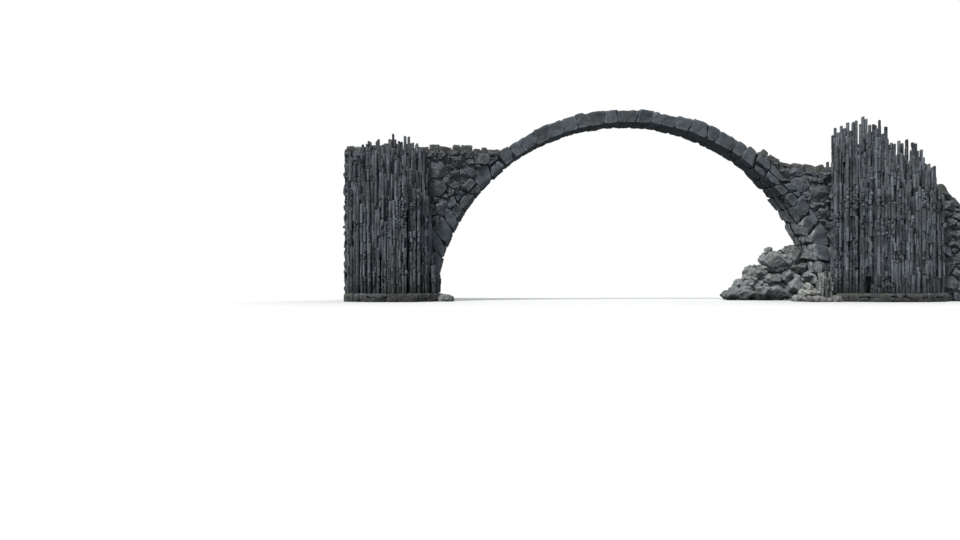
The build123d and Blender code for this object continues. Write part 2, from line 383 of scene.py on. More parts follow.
def on_ring(radius, angle):
    """The point of the elevation at this radius and angle, and never under the water."""
    x = radius * math.sin(math.radians(angle))
    z = radius * math.cos(math.radians(angle)) - centre_drop
    return arch_x + x, max(z, 0)


def haunch_joint(side):
    """The angle of the first ring joint that lies under the masonry of one side."""
    return min(side * angle for angle in joint_angles() if side * angle >= haunch_angle)


def deck_line(side):
    """The top of the masonry on one side, outwards from the haunch joint, as distance and height."""
    angle = haunch_joint(side)
    x, z = on_ring(arch_radius + ring_depth(angle) + back_relief, angle)
    start, lip = x - arch_x, z + haunch_lip
    if side < 0:
        landing = lip - left_landing_drop
        return [(start, lip), (start + left_knee_run, landing), (left_reach, landing)]
    saddle = lip - saddle_drop
    return [
        (start, lip),
        (start + right_knee_run, lip - right_knee_drop),
        (back_joint - saddle_length, saddle),
        (back_joint, saddle),
        (wing_start, wing_shoulder_height),
        (wing_start + wing_slope_run, wing_height),
        (right_reach, wing_height),
    ]


def height_on(line, x):
    """The height at a distance x of a line of points."""
    return float(np.interp(x, *zip(*line)))


def tree(names):
    """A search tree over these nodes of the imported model."""
    points, faces = [], []
    for name in names:
        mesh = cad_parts[name].data
        first = len(points)
        points += [vertex.co[:] for vertex in mesh.vertices]
        faces += [[first + i for i in face.vertices] for face in mesh.polygons]
    return BVHTree.FromPolygons(points, faces)


# Stones gathered into meshes


def placed(name, data):
    """A new object in the scene."""
    made = bpy.data.objects.new(name, data)
    bpy.context.scene.collection.objects.link(made)
    return made


class Stones:
    """Closed stones gathered into one mesh. Each carries a tone, which its material reads."""

    def __init__(self, kind, number=0):
        first, *self.surface = kinds[kind]
        self.random = np.random.default_rng(first + number)
        self.points = []
        self.faces = []
        self.tones = []
        self.count = 0

    def add(self, points, faces, tone=None):
        """One stone, from its points and its faces as lists of indices."""
        self.points.append(np.asarray(points, float))
        self.faces += [tuple(i + self.count for i in face) for face in faces]
        self.tones.append(np.full(len(points), self.random.random() if tone is None else tone))
        self.count += len(points)

    def build(self, name, slot, material, *replaced):
        """The finished piece, with its surfaces roughened along their normals."""
        rough, grain, crease = self.surface
        mesh = bpy.data.meshes.new(name)
        points = np.concatenate(self.points)
        mesh.from_pydata(points.tolist(), [], self.faces)
        mesh.update()
        normals = np.empty(len(points) * 3)
        mesh.vertices.foreach_get("normal", normals)
        lumps = np.array([noise.fractal(Vector(p) / grain, *lump_fractal) for p in points])
        points += normals.reshape(-1, 3) * (rough * lumps)[:, None]
        points[:, 2] = np.maximum(points[:, 2], 0)
        mesh.vertices.foreach_set("co", points.ravel())
        tone = mesh.attributes.new("tone", "FLOAT", "POINT")
        tone.data.foreach_set("value", np.concatenate(self.tones))
        mesh.shade_smooth()
        mesh.set_sharp_from_angle(angle=math.radians(crease))
        mesh.materials.append(material)
        piece = placed(name, mesh)
        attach(piece, "root")
        if replaced:
            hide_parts(*replaced)


def cube_grid(nx, ny, nz):
    """The surface of a cube from -1 to 1, divided along each way: its points and its faces."""
    index = {}
    faces = []

    def square(corner, first, second):
        """One face, from this corner of the grid along one axis and then along another."""
        walk = ((), (first,), (first, second), (second,))
        places = [tuple(c + (axis in moved) for axis, c in enumerate(corner)) for moved in walk]
        faces.append([index.setdefault(place, len(index)) for place in places])

    for i in range(nx):
        for j in range(ny):
            square((i, j, 0), 1, 0)
            square((i, j, nz), 0, 1)
    for i in range(nx):
        for k in range(nz):
            square((i, 0, k), 0, 2)
            square((i, ny, k), 2, 0)
    for j in range(ny):
        for k in range(nz):
            square((0, j, k), 2, 1)
            square((nx, j, k), 1, 2)
    return np.array(list(index)) * (2 / np.array([nx, ny, nz])) - 1, faces


def outward(faces, x, y, z):
    """The faces of a stone that was laid out along these three ways, turned round if they mirror it."""
    return [face[::-1] for face in faces] if np.cross(x, y) @ z < 0 else faces


def bands(rings, count):
    """The faces between successive rings of this many points each."""
    faces = []
    for low in range(0, (rings - 1) * count, count):
        for n in range(count):
            after = (n + 1) % count
            faces.append([low + n, low + after, low + count + after, low + count + n])
    return faces


def middle_of(polygon):
    """The middle of a polygon, and the mean distance of its corners from there."""
    centre = polygon.mean(0)
    return centre, np.linalg.norm(polygon - centre, axis=1).mean()


def chipped(points, random, chips, depth):
    """Points of a cube from -1 to 1 whose edges, faces and corners are broken off along planes."""
    for _ in range(chips):
        way = random.choice([-1.0, 1.0], 3) * random.uniform(*chip_ways, 3)
        kind = random.random()
        axis = random.integers(3)
        if kind < edge_chips:
            way[axis] *= edge_chip_lean
        elif kind < edge_chips + face_chips:
            way[(axis + 1) % 3] *= face_chip_lean
            way[(axis + 2) % 3] *= face_chip_lean
        way /= np.linalg.norm(way)
        reach = np.abs(way).sum() * (1 - random.uniform(*chip_depths) * depth)
        points = points - np.maximum(points @ way - reach, 0)[:, None] * way
    return points


def block(stones, corners, chips, depth, spacing):
    """One rough block. Its corners are given in the order of a cube's: by x, then by y, then by z."""
    corners = np.asarray(corners, float).reshape(2, 2, 2, 3)
    spans = [np.linalg.norm(np.diff(corners, axis=axis), axis=-1).mean() for axis in range(3)]
    grid, faces = cube_grid(*(max(2, round(span / spacing)) for span in spans))
    high = (chipped(grid, stones.random, chips, depth) + 1) / 2
    low = 1 - high
    points = np.zeros((len(grid), 3))
    for i, x in enumerate((low[:, 0], high[:, 0])):
        for j, y in enumerate((low[:, 1], high[:, 1])):
            for k, z in enumerate((low[:, 2], high[:, 2])):
                points += (x * y * z)[:, None] * corners[i, j, k]
    edges = [corners[way] - corners[0, 0, 0] for way in ((1, 0, 0), (0, 1, 0), (0, 0, 1))]
    stones.add(points, outward(faces, *edges))


def clipped(polygon, point, normal):
    """The part of a convex polygon behind a line."""
    sides = (polygon - point) @ normal
    kept = []
    for n, (a, da) in enumerate(zip(polygon, sides)):
        m = (n + 1) % len(polygon)
        b, db = polygon[m], sides[m]
        if da <= 0:
            kept.append(a)
        if da * db < 0:
            kept.append(a + (b - a) * da / (da - db))
    return np.array(kept).reshape(-1, 2)


def cells(sites, radii, limit):
    """The convex cell of each site among its neighbours, within a limit. Larger radii get more room."""
    turns = np.radians(np.arange(0, 360, 45))
    octagon = limit * np.stack([np.cos(turns), np.sin(turns)], 1)
    found = []
    for n, site in enumerate(sites):
        polygon = site + octagon
        gaps = np.linalg.norm(sites - site, axis=1)
        for m in np.argsort(gaps)[1 : cell_neighbours + 1]:
            if gaps[m] > 2 * limit or len(polygon) < 3:
                break
            way = (sites[m] - site) / gaps[m]
            share = (gaps[m] ** 2 + radii[n] ** 2 - radii[m] ** 2) / (2 * gaps[m])
            polygon = clipped(polygon, site + way * share, way)
        found.append(polygon)
    return found


def scattered(random, low, high, radius, spread):
    """Sites and radii scattered over a rectangle, with no two closer than their radii allow."""
    sites = np.empty((0, 2))
    radii = np.empty(0)
    for _ in range(site_tries):
        size = radius * random.uniform(1 - spread, 1 + spread)
        site = random.uniform(low, high)
        if np.all(np.linalg.norm(sites - site, axis=1) > site_closeness * (radii + size)):
            sites = np.vstack([sites, site])
            radii = np.append(radii, size)
    return sites, radii


def area(polygon):
    """The area of a polygon."""
    x, y = polygon[:, 0], polygon[:, 1]
    return abs(x @ np.roll(y, -1) - y @ np.roll(x, -1)) / 2


def rounded(polygon, gap, count):
    """A polygon shrunk by the gap, with its corners cut twice, as points spread evenly along it."""
    centre, size = middle_of(polygon)
    polygon = centre + (polygon - centre) * max(least_shrink, 1 - gap / size)
    for _ in range(2):
        after = np.roll(polygon, -1, axis=0)
        near, far = 1 - corner_cut, corner_cut
        pairs = [polygon * near + after * far, polygon * far + after * near]
        polygon = np.stack(pairs, 1).reshape(-1, 2)
    closed = np.vstack([polygon, polygon[:1]])
    lengths = np.concatenate([[0], np.cumsum(np.linalg.norm(np.diff(closed, axis=0), axis=1))])
    places = np.linspace(0, lengths[-1], count, endpoint=False)
    return np.stack([np.interp(places, lengths, closed[:, i]) for i in (0, 1)], 1)


def broken_front(random, steep, proud):
    """The planes of a stone's broken front, each as a slope and a height at the stone's middle."""
    planes = [
        (random.normal(0, front_tilt * steep, 2), proud * random.uniform(*front_tops))
        for _ in range(front_planes)
    ]
    for turn in random.uniform(0, 2 * math.pi, front_bevels):
        way = np.array([math.cos(turn), math.sin(turn)])
        slope = way * steep * random.uniform(*bevel_slopes)
        planes.append((slope, proud * random.uniform(*bevel_tops)))
    slope = np.array([random.normal(0, upper_bevel_wander), upper_bevel_slope])
    return [*planes, (slope * steep, proud * random.uniform(*upper_bevel_tops))]


def face_stone(stones, polygon, place, proud, gap, count):
    """One stone of a rough face, with this outline, bedded behind the face and with a broken front.

    place(across, up, out) gives the point of the wall at these places and this far out from its face.
    """
    outline = rounded(polygon, gap, count)
    centre, size = middle_of(outline)
    planes = broken_front(stones.random, proud / size, proud)
    least = front_least * proud
    rings = [(1, -stone_bite), *((share, height * proud) for share, height in front_rings)]
    points = []
    for share, most in rings:
        for spot in centre + (outline - centre) * share:
            out = most
            if share < 1:
                broken = min(top - slope @ (spot - centre) for slope, top in planes)
                out = min(most, max(broken, least))
            points.append(place(*spot, out))
    points.append(place(*centre, max(least, min(top for _, top in planes))))
    last = (len(rings) - 1) * count
    faces = bands(len(rings), count)
    faces += [[last + n, last + (n + 1) % count, last + count] for n in range(count)]
    here = np.array(place(*centre, 0))
    moves = 0.01 * np.eye(3)
    ways = [np.array(place(*(centre + move[:2]), move[2])) - here for move in moves]
    stones.add(points, outward(faces, *ways))


def faced(stones, low, high, place, limits, radius, spread, gap, proud, count, hidden=None):
    """Covers a face with stones. limits(x, z) gives the lines that bound it, as points and normals."""
    sites, radii = scattered(stones.random, np.array(low), np.array(high), radius, spread)
    for site, polygon in zip(sites, cells(sites, radii, cell_reach * radius)):
        for point, normal in limits(*site):
            polygon = clipped(polygon, np.array(point), np.array(normal))
        if len(polygon) < 3 or area(polygon) < least_area or (hidden and hidden(polygon)):
            continue
        face_stone(stones, polygon, place, proud * stones.random.uniform(*proud_spread), gap, count)


# Materials


class Shading:
    """Builds the node tree of a material or of the world."""

    def __init__(self, owner):
        self.owner = owner
        self.owner.use_nodes = True
        self.tree = owner.node_tree
        self.place = self.node("TexCoord", {})["Object"]

    def fill(self, node, inputs):
        """Sets inputs of a node, by name or number, to a constant, colour or vector, or links them."""
        for key, value in inputs.items():
            socket = node.inputs[key]
            if isinstance(value, (int, float)):
                socket.default_value = value
            elif isinstance(value, tuple):
                socket.default_value = (*value, 1)[: len(socket.default_value)]
            else:
                self.tree.links.new(value, socket)

    def node(self, kind, inputs, **settings):
        """The outputs of a new node with these inputs and settings."""
        node = self.tree.nodes.new(f"ShaderNode{kind}")
        for name, value in settings.items():
            setattr(node, name, value)
        self.fill(node, inputs)
        return node.outputs

    def noise(self, scale, detail=6, roughness=0.6, stretch=None):
        """A noise texture, squeezed along the axes by stretch."""
        place = self.place
        if stretch:
            place = self.node("Mapping", {"Vector": place, "Scale": stretch})["Vector"]
        inputs = {"Vector": place, "Scale": scale, "Detail": detail, "Roughness": roughness}
        return self.node("TexNoise", inputs)["Fac"]

    def ramp(self, value, low, high):
        """Spreads the range from low to high over 0 to 1."""
        return self.node("MapRange", {"Value": value, "From Min": low, "From Max": high})["Result"]

    def maths(self, operation, a, b=0):
        """One operation on two values."""
        return self.node("Math", {0: a, 1: b}, operation=operation)["Value"]

    def product(self, first, *others):
        """The product of some values."""
        for other in others:
            first = self.maths("MULTIPLY", first, other)
        return first

    def mix(self, share, a, b):
        """A mix of two colours, through the sockets that the node has for colours."""
        return self.node("Mix", {0: share, 6: a, 7: b}, data_type="RGBA")[2]

    def over(self, base, paint, *shares):
        """A colour with a paint over it, as thick as the product of the shares."""
        return self.mix(self.product(*shares), base, paint)

    def bump(self, height, distance, strength, **normal):
        """A bumped normal, on top of another one if that is given as Normal."""
        inputs = {"Height": height, "Distance": distance, "Strength": strength, **normal}
        return self.node("Bump", inputs)["Normal"]


def tinted(colour, factor):
    """A colour made lighter or darker."""
    return tuple(channel * factor for channel in colour)


# One strength sets a material's painted highlight on convex edges; where it is zero, the painted shade in
# hollows is left out as well.
def stone_material(
    name, dark, light, stain, lichen=0.6, side_lichen=0.0, moss=0.5, bump=0.6, streak=0.0, painted_edge_light=0.4,
    wet=0.5, wet_height=0.75
):
    """A rough stone, mottled between two colours and stained, with lichen, and with moss on top."""
    s = Shading(bpy.data.materials.new(name))
    tone = s.node("Attribute", {}, attribute_name="tone")["Fac"]
    shape = s.node("NewGeometry", {})
    normal = s.node("SeparateXYZ", {0: shape["Normal"]})
    height = s.node("SeparateXYZ", {0: s.place})["Z"]

    # The stone's own tone with a mottle, and a stain that differs from stone to stone
    body = s.maths("ADD", s.product(s.ramp(s.noise(2.2), 0.3, 0.7), 0.35), s.product(tone, 0.65))
    colour = s.mix(body, dark, light)
    colour = s.over(colour, stain, s.maths("FRACT", s.product(tone, 7.3)), 0.4)

    # Dark and pale grains, pale flecks, stained patches, and streaks down the stone
    grit = s.noise(10, 6, 0.75)
    colour = s.over(colour, tinted(dark, 0.7), s.ramp(grit, 0.52, 0.36), 0.55)
    colour = s.over(colour, tinted(light, 1.5), s.ramp(grit, 0.54, 0.68), 0.5)
    fleck = s.ramp(s.noise(38, 3, 0.7), 0.42, 0.62)
    colour = s.over(colour, tinted(light, 1.7), fleck, body, 0.5)
    colour = s.over(colour, stain, s.ramp(s.noise(0.9, 4), 0.5, 0.68), 0.65)
    if streak:
        lines = s.noise(12, 5, 0.65, (1, 1, 0.07))
        colour = s.over(colour, tinted(light, 2.2), s.ramp(lines, 0.52, 0.68), streak)
        colour = s.over(colour, tinted(dark, 0.6), s.ramp(lines, 0.48, 0.34), streak)

    # Lichen in spots, and as a crust low on what faces left
    spots = s.ramp(s.noise(6.5, 8, 0.75), 0.52, 0.64)
    patches = s.ramp(s.noise(0.7, 3), 0.42, 0.62)
    colour = s.over(colour, (0.27, 0.28, 0.25), spots, patches, lichen)
    if side_lichen:
        faces_left = s.product(s.ramp(normal["X"], -0.55, -0.8), s.ramp(height, 6, 4))
        crust = s.ramp(s.noise(7, 8, 0.8), 0.42, 0.52)
        colour = s.over(colour, (0.7, 0.72, 0.7), crust, faces_left, side_lichen)

    # Painted highlight on the convex edges and painted shade in the hollows, both read from the mesh's
    # pointiness
    if painted_edge_light:
        colour = s.over(colour, tinted(light, 1.8), s.ramp(shape["Pointiness"], 0.515, 0.58), painted_edge_light)
        colour = s.over(colour, tinted(dark, 0.5), s.ramp(shape["Pointiness"], 0.49, 0.4), 0.6)

    # Moss above, shade below, and damp stone by the water
    faces_up = s.ramp(normal["Z"], 0.25, 0.85)
    green = s.ramp(s.noise(1.6, 7, 0.7), 0.46, 0.6)
    colour = s.over(colour, (0.05, 0.075, 0.022), faces_up, green, moss)
    colour = s.over(colour, tinted(dark, 0.5), s.ramp(normal["Z"], -0.35, -0.9), 0.6)
    above_water = s.maths("ADD", height, s.product(s.noise(3, 4), 0.5))
    damp = s.ramp(above_water, wet_height, wet_height / 3)
    colour = s.over(colour, tinted(dark, 0.4), damp, wet)

    dry = s.maths("ADD", 0.74, s.product(fleck, 0.16))
    coarse = s.bump(s.noise(6, 8, 0.7), 0.09, bump)
    s.fill(s.tree.nodes["Principled BSDF"], {
        "Base Color": colour,
        "Roughness": s.maths("SUBTRACT", dry, s.product(damp, 0.3)),
        "Specular IOR Level": 0.3,
        "Normal": s.bump(s.noise(45, 6, 0.7), 0.012, bump, Normal=coarse),
    })
    return s.owner


def floor_material():
    """The studio's floor: pale to look at, while it throws back as little light as still water does."""
    s = Shading(bpy.data.materials.new("floor"))
    seen = s.node("LightPath", {})["Is Camera Ray"]
    colour = s.mix(seen, (0.16, 0.18, 0.19), (0.8, 0.8, 0.79))
    s.fill(s.tree.nodes["Principled BSDF"], {"Base Color": colour, "Roughness": 0.95})
    return s.owner


# Each stone material below has its own colours and its own strength of painted highlight on edges and
# painted shade in hollows.
ring_material = stone_material(
    "ring_stone", (0.038, 0.046, 0.054), (0.144, 0.165, 0.185), (0.088, 0.086, 0.08),
    lichen=0.3, side_lichen=0.9
)
rubble_material = stone_material(
    "rubble_stone", (0.024, 0.028, 0.034), (0.14, 0.153, 0.17), (0.09, 0.082, 0.074),
    lichen=0.35, painted_edge_light=0.8
)
edging_material = stone_material(
    "edging_stone", (0.038, 0.042, 0.043), (0.14, 0.145, 0.14), (0.09, 0.085, 0.065),
    moss=0.7, wet=0.7
)
column_material = stone_material(
    "basalt", (0.015, 0.018, 0.022), (0.188, 0.212, 0.238), (0.105, 0.098, 0.092),
    lichen=0.5, moss=0.3, streak=0.5, painted_edge_light=0.0, wet=0.6, wet_height=1.9
)
heap_material = stone_material(
    "boulder_stone", (0.034, 0.038, 0.041), (0.31, 0.332, 0.34), (0.165, 0.148, 0.13),
    lichen=0.7, bump=0.85, painted_edge_light=0.6, wet=0.65, wet_height=1.1
)
toe_material = stone_material(
    "toe_stone", (0.13, 0.135, 0.13), (0.42, 0.43, 0.41), (0.26, 0.24, 0.2),
    lichen=0.9
)
stump_material = stone_material(
    "pale_basalt", (0.034, 0.037, 0.039), (0.27, 0.28, 0.28), (0.14, 0.13, 0.115),
    lichen=0.8, streak=0.8, painted_edge_light=0.0
)
paving_material = stone_material(
    "paving_stone", (0.055, 0.058, 0.055), (0.16, 0.162, 0.15), (0.11, 0.1, 0.08),
    moss=0.8
)
# The filling and core that show in the joints, nearly black as painted shade in the gaps between the
# stones
painted_shade_joint_material = stone_material(
    "mortar", (0.008, 0.009, 0.01), (0.02, 0.022, 0.025), (0.017, 0.017, 0.016),
    lichen=0.05
)


# Arch ring


def ring_block(stones, angles, leans, radii, cuts, outside, gap, wear):
    """One ring stone between two joints, two radii and two cuts across the bridge."""
    opening = math.degrees(gap / 2 / arch_radius)
    corners = []
    for angle, lean, way in zip(angles, leans, (1, -1)):
        for cut, proud, inwards in zip(cuts, outside, (1, -1)):
            for radius in radii:
                turn = angle + lean * (radius - arch_radius) + way * opening
                x, z = on_ring(radius, turn)
                y = cut * half_width(x - arch_x) + inwards * gap / 2
                if proud:
                    y += math.copysign(proud * stones.random.uniform(*ring_corners), cut)
                corners.append((x, y, z))
    block(stones, corners, *wear)


def voussoir(stones, i, angles, leans):
    """One wedge of the ring: stones side by side across the bridge. Rough ones may be split."""
    middle = sum(angles) / 2
    rough = abs(middle) > rough_angle
    rows, gap, relief, wear = 2, joint_gap, ring_proud, crown_wear
    if rough:
        rows, gap, relief, wear = 3, rough_gap, rough_relief, rough_wear
    inner = arch_radius + soffit_wander * fixed(i, soffit_seed)
    outer = arch_radius + ring_depth(middle) + back_relief * fixed(i, back_seed) + ring_proud
    wanders = [cut_wander * fixed(i, n, cut_seed) * (0 < n < rows) for n in range(rows + 1)]
    cuts = [-1 + 2 * (n + wander) / rows for n, wander in enumerate(wanders)]
    random = stones.random
    for n in range(rows):
        rise = outer + random.uniform(*back_rise)
        drop = inner - random.uniform(0, soffit_drop) * relief
        split = drop + (rise - drop) * random.uniform(*split_place)
        spans = [(drop, rise)]
        if rough and random.random() < split_share:
            spans = [(drop, split - gap / 2), (split + gap / 2, rise)]
        for span in spans:
            proud = ring_least_proud + relief * random.random()
            outside = (proud * (n == 0), proud * (n == rows - 1))
            ring_block(stones, angles, leans, span, cuts[n : n + 2], outside, gap, wear)


def ring_stones():
    """The ring's rough stones, in a piece for its crown and one for each side. Its feet stand plumb."""
    angles = joint_angles()
    doubled = [2 if abs(angle) > rough_angle else 1 for angle in angles]
    leans = [joint_lean * fixed(n, lean_seed) * factor for n, factor in enumerate(doubled)]
    leans[0] = leans[-1] = 0
    sections = {
        "left": range(crown_stones.start),
        "crown": crown_stones,
        "right": range(crown_stones.stop, voussoir_count),
    }
    for word, numbers in sections.items():
        stones = Stones("ring", numbers.start)
        for i in numbers:
            voussoir(stones, i, angles[i : i + 2], leans[i : i + 2])
        stones.build(f"ring_{word}_stones", "ring_stone", ring_material)


# Masonry


def wall_rubble(side, face, screens):
    """The polygonal stones of one face of the masonry behind the ring, where no column hides it."""
    deck = deck_line(side)
    end = right_reach if side > 0 else left_reach

    def place(x, up, out):
        return arch_x + side * x, face * (half_width(x) + out), max(up, 0)

    def limits(x, z):
        away = math.hypot(x, z + centre_drop)
        angle = math.degrees(math.atan2(x, z + centre_drop))
        radial = np.array([x, z + centre_drop]) / away
        back = arch_radius + ring_depth(angle) - rubble_lap
        rise = height_on(deck, x + deck_run / 2) - height_on(deck, x - deck_run / 2)
        slope = rise / deck_run
        steep = math.hypot(slope, 1)
        return [
            (radial * back - np.array([0, centre_drop]), -radial),
            ((x, height_on(deck, x)), (-slope / steep, 1 / steep)),
            ((0, ground_gap), (0, -1)),
            ((end, 0), (1, 0)),
        ]

    def hidden(polygon):
        spots = [place(x, z, 0.01) for x, z in (*polygon, polygon.mean(0))]
        return all(screens.ray_cast(spot, (0, face, 0))[0] is not None for spot in spots)

    stones = Stones("rubble", side_step * side + face)
    low, high = (deck[0][0] - rubble_margin, 0), (end, max(z for _, z in deck))
    faced(stones, low, high, place, limits, hidden=hidden, **rubble_stones)
    name = f"{side_words[side]}_{face_words[face]}_rubble"
    stones.build(name, "rubble_stone", rubble_material)


def end_rubble(side):
    """The stones of the masonry's end face on one side."""
    deck = deck_line(side)
    x, top = deck[-1][0], deck[-1][1] + paving_thickness

    def place(y, up, out):
        return arch_x + side * (x + out), y, max(up, 0)

    def limits(y, z):
        sides = [((way * wall_y, 0), (way, 0)) for way in (1, -1)]
        return [((0, top), (0, 1)), ((0, ground_gap), (0, -1)), *sides]

    stones = Stones("end", side)
    faced(stones, (-wall_y, 0), (wall_y, top), place, limits, **end_stones)
    stones.build(f"{side_words[side]}_end_rubble", "rubble_stone", rubble_material)


def edging(side, face):
    """The jagged stones along one edge of the path, which grow from the haunch joint outwards."""
    deck = deck_line(side)
    stones = Stones("edging", side_step * side + face)
    random = stones.random
    x, number = deck[0][0] - edging_lap, 0
    while x < deck[-1][0] - least_edging:
        after = min(x + random.uniform(*edging_lengths), deck[-1][0])
        grown = min(1, (number + edging_start) / (2 * edging_growth))
        proud = paving_thickness + (edging_height - paving_thickness) * grown
        tops = proud * random.uniform(*edging_tops) * random.uniform(*edging_corners, 4)
        corners = []
        for n, place in enumerate((x + joint_gap / 2, after - joint_gap / 2)):
            outer, inner = random.uniform(*edging_overhang), random.uniform(0, edging_scatter)
            insets = (-outer, edging_width - inner)
            for m, inset in enumerate(insets):
                for height in (-edging_bed, tops[2 * n + m]):
                    y = face * (half_width(place) - inset)
                    corners.append((arch_x + side * place, y, height_on(deck, place) + height))
        block(stones, corners, *edging_wear)
        x, number = after, number + 1
    name = f"{side_words[side]}_{face_words[face]}_edging"
    stones.build(f"{name}_stones", "edging_stone", edging_material, name)


def step_stones(stones, side):
    """The step stones that fill the notch between the ring's back and the paving."""
    random = stones.random
    start, lip = deck_line(side)[0]
    least, most = step_cut
    cuts = [-1, random.uniform(-most, -least), random.uniform(least, most), 1]
    for near, far in zip(cuts, cuts[1:]):
        low, high = random.uniform(*step_rise), paving_thickness + random.uniform(0, step_scatter)
        corners = [
            (arch_x + side * x, y, lip + height)
            for x, top in ((start - step_length, low), (start + joint_gap, high))
            for y in (near * half_width(start) + joint_gap / 2, far * half_width(start) - joint_gap / 2)
            for height in (-step_bed, top)
        ]
        block(stones, corners, *course_wear)


def flagstones(side):
    """The weathered paving between the two rows of edging stones."""
    deck = deck_line(side)
    start, end = deck[0][0], deck[-1][0]
    middle = wall_y - edging_width

    def place(x, y, out):
        return arch_x + side * x, y, height_on(deck, x) + paving_thickness + out

    def limits(x, y):
        half = half_width(x) - edging_width + paving_lap
        return [((start, 0), (-1, 0)), ((end, 0), (1, 0)), ((0, half), (0, 1)), ((0, -half), (0, -1))]

    stones = Stones("paving", side)
    faced(stones, (start, -middle), (end, middle), place, limits, **paving_stones)
    step_stones(stones, side)
    stones.build(f"{side_words[side]}_flagstones", "paving_stone", paving_material)


def footing(side, face):
    """The low course of rough blocks under one screen of columns."""
    start, end = right_screen if side > 0 else left_screen
    middle, reach = (start + end) / 2, (end - start) / 2
    rise = screen_middle_depth - screen_edge_depth
    bow_radius = (reach**2 + rise**2) / (2 * rise)
    gap = joint_gap / 3
    stones = Stones("footing", side_step * side + face)
    random = stones.random

    def front(x):
        sag = bow_radius - math.sqrt(max(bow_radius**2 - (x - middle) ** 2, 0))
        return wall_y + screen_middle_depth + footing_margin - sag

    x = start
    while x < end - least_footing:
        after = min(x + footing_stone_length * random.uniform(*footing_spread), end)
        courses = [0, footing_height * random.uniform(*footing_course), footing_height]
        if random.random() < footing_whole_share:
            courses = [0, footing_height]
        for low, high in zip(courses, courses[1:]):
            proud = random.uniform(*footing_proud)
            corners = [
                (arch_x + side * place, face * y, z)
                for place in (x + gap, after - gap)
                for y in (wall_y - footing_bite, front(place) + proud)
                for z in (low + gap, high - gap)
            ]
            block(stones, corners, *course_wear)
        x = after
    name = f"{side_words[side]}_{face_words[face]}_footing"
    stones.build(f"{name}_stones", "footing_stone", edging_material, name)


# Basalt columns


def drum(stones, polygon, shift, low, high, tone, knobbly):
    """One drum of a column: a prism with broken, slightly tilted ends, and knobbly where it shows."""
    random = stones.random
    centre, size = middle_of(polygon)
    shape = centre + (polygon - centre) * (1 - column_gap / size) * random.uniform(*drum_spread)
    turn = random.normal(0, drum_turn)
    spin = np.array([[math.cos(turn), -math.sin(turn)], [math.sin(turn), math.cos(turn)]])
    shape = centre + (shape - centre) @ spin.T
    edge = min(drum_edge, (high - low) / 4)
    lean = random.normal(0, drum_lean, 2)
    tilts = random.normal(0, drum_tilt, (2, 2))
    knobs = np.linspace(low, high - edge, 2 + knobbly * int((high - low) / knob_pitch))[1:-1]
    levels = [low, *knobs, high - edge, high]
    widths = [1, *(1 - knob_depth * random.random(len(knobs))), 1, drum_taper]
    if high - low < crushed_lengths[1]:
        levels.insert(1, low + edge)
        widths = [drum_taper, *widths]
    count = len(shape)
    points = []
    for width, z in zip(widths, levels):
        bumps = width * (1 + random.normal(0, knob_depth / 3, (count, 1)))
        flat = shift + centre + (shape - centre) * bumps + lean * (z - low)
        up = (z - low) / (high - low)
        level = z + (shape - centre) @ (tilts[0] * (1 - up) + tilts[1] * up)
        points += [(x, y, h) for (x, y), h in zip(flat, level)]
    foot = list(range(count))[::-1]
    head = [(len(levels) - 1) * count + n for n in range(count)]
    stones.add(points, [foot, head, *bands(len(levels), count)], tone)


def breaks(random, shared, low, high):
    """The heights at which one column is broken: some are shared with its group, some are its own."""
    own = low + np.cumsum(random.uniform(*own_spread, own_breaks) * drum_length)
    heights = [z + random.normal(0, break_wander) for z in shared if random.random() < shared_share]
    heights += [z for z in own if random.random() < own_share]
    kept = [low]
    for z in sorted(heights):
        if kept[-1] + least_drum < z < high - least_tip:
            kept.append(z)
    return [*kept, high]


def crushed(random, heights, zones):
    """More breaks of one column, in the zones where all columns of its group are broken small."""
    finer = list(heights)
    for low, high in zones:
        z = max(low, heights[0]) + random.uniform(*crushed_lengths) / 2
        while z < min(high, heights[-1]):
            if min(abs(z - other) for other in finer) > crushed_lengths[0] / 2:
                finer.append(z)
            z += random.uniform(*crushed_lengths)
    return finer


def column_sites(name, random):
    """Where one bundle's thin columns stand, and from what to what height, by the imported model."""
    low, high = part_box(name)
    body = tree([name])
    row_pitch = column_pitch * math.sqrt(3) / 2
    sites, bases, tops = [], [], []
    for row, y in enumerate(np.arange(low.y, high.y + row_pitch, row_pitch)):
        for x in np.arange(low.x, high.x + column_pitch, column_pitch) + (row % 2) * column_pitch / 2:
            site = np.array([x, y]) + random.uniform(-column_wander, column_wander, 2) * column_pitch
            top = body.ray_cast((*site, high.z + 1), (0, 0, -1))[0]
            if top is not None:
                sites.append(site)
                bases.append(body.ray_cast((*site, -1), (0, 0, 1))[0].z)
                tops.append(top.z)
    sites, tops = np.array(sites), np.array(tops)
    apart = np.linalg.norm(sites[:, None] - sites[None, :], axis=2)
    around = np.array([np.percentile(tops[row < tip_reach], tip_percentile) for row in apart])
    return sites, bases, tops + tip_evening * (around - tops) + random.uniform(*tip_spread, len(tops))


def column(stones, polygon, heights, shared, group, face, open_in_front, holes):
    """One column, in drums between these heights that slip with its group. Its holes stay empty."""
    random = stones.random
    tone = least_tone + tone_range * random.random()
    slip = random.normal(0, column_slip, 2)
    for low, high in zip(heights, heights[1:]):
        if low in [bottom for _, bottom, _ in holes]:
            continue
        band = sum(z < (low + high) / 2 for z in shared)
        outwards = band_slip * fixed(group, band, face + band_seed)
        small = high - low < crushed_lengths[1]
        if open_in_front and random.random() < recess_share and not small:
            outwards -= recess_depth
        loose = crushed_slip if small else drum_slip
        shift = slip + random.normal(0, loose, 2) + (0, face * outwards)
        paler = random.random() < pale_share * (1 + fixed(group, band, face + pale_seed))
        shade = tone + random.normal(0, tone_wander) + pale_extra * paler
        drum(stones, polygon, shift, low, high, min(1, max(0, shade)), open_in_front)


